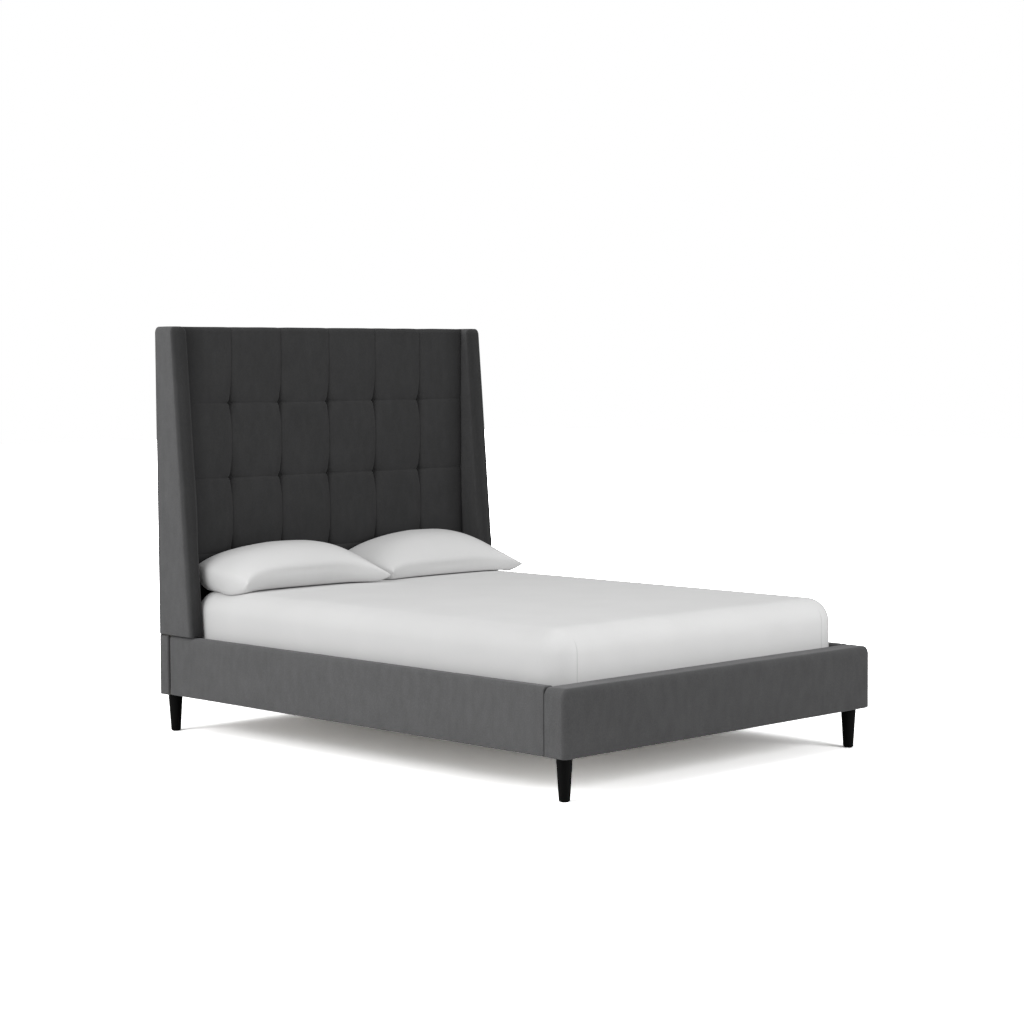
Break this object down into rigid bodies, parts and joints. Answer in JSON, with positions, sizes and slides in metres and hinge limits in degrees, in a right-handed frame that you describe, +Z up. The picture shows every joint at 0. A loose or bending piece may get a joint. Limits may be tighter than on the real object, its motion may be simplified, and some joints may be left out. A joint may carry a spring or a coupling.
{
  "type": "upholstered bed",
  "caption": "Upholstered wing bed with a tall tufted headboard, padded rails and low footboard on tapered legs, with mattress, sheet and pillows.",
  "frame": {"origin": "on the floor under the middle of the bed", "axes": "+Z up, +Y towards the headboard, +X towards the right-hand side for someone standing at the foot facing the headboard"},
  "size_m": [1.65, 2.25, 1.605],
  "materials": {
    "upholstery": "charcoal short-nap velvet",
    "back_lining": "charcoal flat cloth",
    "foam": "cream upholstery foam",
    "timber": "planed pine",
    "plywood": "birch plywood",
    "black_leg": "black satin lacquer",
    "zinc_steel": "zinc plated",
    "black_steel": "black powder coat",
    "black_plastic": "moulded",
    "mattress_ticking": "quilted ticking",
    "white_sheet": "white cotton percale",
    "white_pillow": "white cotton percale"
  },
  "bodies": {
    "bed_frame": {"beam_brackets": "zinc_steel", "bracket_bolts": "zinc_steel", "centre_beam": "timber", "centre_leg_front": "black_steel", "centre_leg_rear": "black_steel", "corner_brackets": "zinc_steel", "footboard_core": "timber", "footboard_cover": "upholstery", "footboard_foam": "foam", "headboard_back_cover": "back_lining", "headboard_bottom_rail": "timber", "headboard_face_board": "plywood", "headboard_foam": "foam", "headboard_front_cover": "upholstery", "headboard_post_left": "timber", "headboard_post_right": "timber", "headboard_top_rail": "timber", "leg_bolts": "zinc_steel", "leg_front_left": "black_leg", "leg_front_right": "black_leg", "leg_glides": "black_plastic", "leg_rear_left": "black_leg", "leg_rear_right": "black_leg", "post_cover_left": "upholstery", "post_cover_right": "upholstery", "side_rail_board_left": "timber", "side_rail_board_right": "timber", "side_rail_cover_left": "upholstery", "side_rail_cover_right": "upholstery", "side_rail_foam_left": "foam", "side_rail_foam_right": "foam", "slat_01": "timber", "slat_02": "timber", "slat_03": "timber", "slat_04": "timber", "slat_05": "timber", "slat_06": "timber", "slat_07": "timber", "slat_08": "timber", "slat_09": "timber", "slat_10": "timber", "slat_11": "timber", "slat_12": "timber", "slat_ledger_left": "timber", "slat_ledger_right": "timber", "tuft_buttons": "upholstery", "wing_core_left": "timber", "wing_core_right": "timber", "wing_cover_left": "upholstery", "wing_cover_right": "upholstery", "wing_foam_left": "foam", "wing_foam_right": "foam"},
    "mattress_body": {"mattress": "mattress_ticking", "fitted_sheet": "white_sheet"},
    "left_pillow": {"pillow_left": "white_pillow"},
    "right_pillow": {"pillow_right": "white_pillow"},
    "front_leveller_pad": {"leveller_pad_front": "black_plastic"},
    "front_leveller_stem": {"leveller_stem_front": "zinc_steel"},
    "rear_leveller_pad": {"leveller_pad_rear": "black_plastic"},
    "rear_leveller_stem": {"leveller_stem_rear": "zinc_steel"}
  },
  "joints": [
    {"name": "mattress_lift", "type": "slide", "parent": "bed_frame", "child": "mattress_body", "axis": [0, 0, 1], "range_m": [0, 0.45]},
    {"name": "left_pillow_lift", "type": "slide", "parent": "mattress_body", "child": "left_pillow", "axis": [0, 0, 1], "range_m": [0, 0.35]},
    {"name": "right_pillow_lift", "type": "slide", "parent": "mattress_body", "child": "right_pillow", "axis": [0, 0, 1], "range_m": [0, 0.35]},
    {"name": "front_leveller_travel", "type": "slide", "parent": "bed_frame", "child": "front_leveller_pad", "axis": [0, 0, -1], "range_m": [0, 0.01]},
    {"name": "front_leveller_turn", "type": "hinge", "parent": "front_leveller_pad", "child": "front_leveller_stem", "pos_m": [0, -0.34, 0.009], "axis": [0, 0, -1], "range_deg": [0, 2881]},
    {"name": "rear_leveller_travel", "type": "slide", "parent": "bed_frame", "child": "rear_leveller_pad", "axis": [0, 0, -1], "range_m": [0, 0.01]},
    {"name": "rear_leveller_turn", "type": "hinge", "parent": "rear_leveller_pad", "child": "rear_leveller_stem", "pos_m": [0, 0.34, 0.009], "axis": [0, 0, -1], "range_deg": [0, 2881]}
  ],
  "couplings": [
    {"joint": "front_leveller_turn", "follows": "front_leveller_travel", "rad_per_m": 5026.5},
    {"joint": "rear_leveller_turn", "follows": "rear_leveller_travel", "rad_per_m": 5026.5}
  ]
}
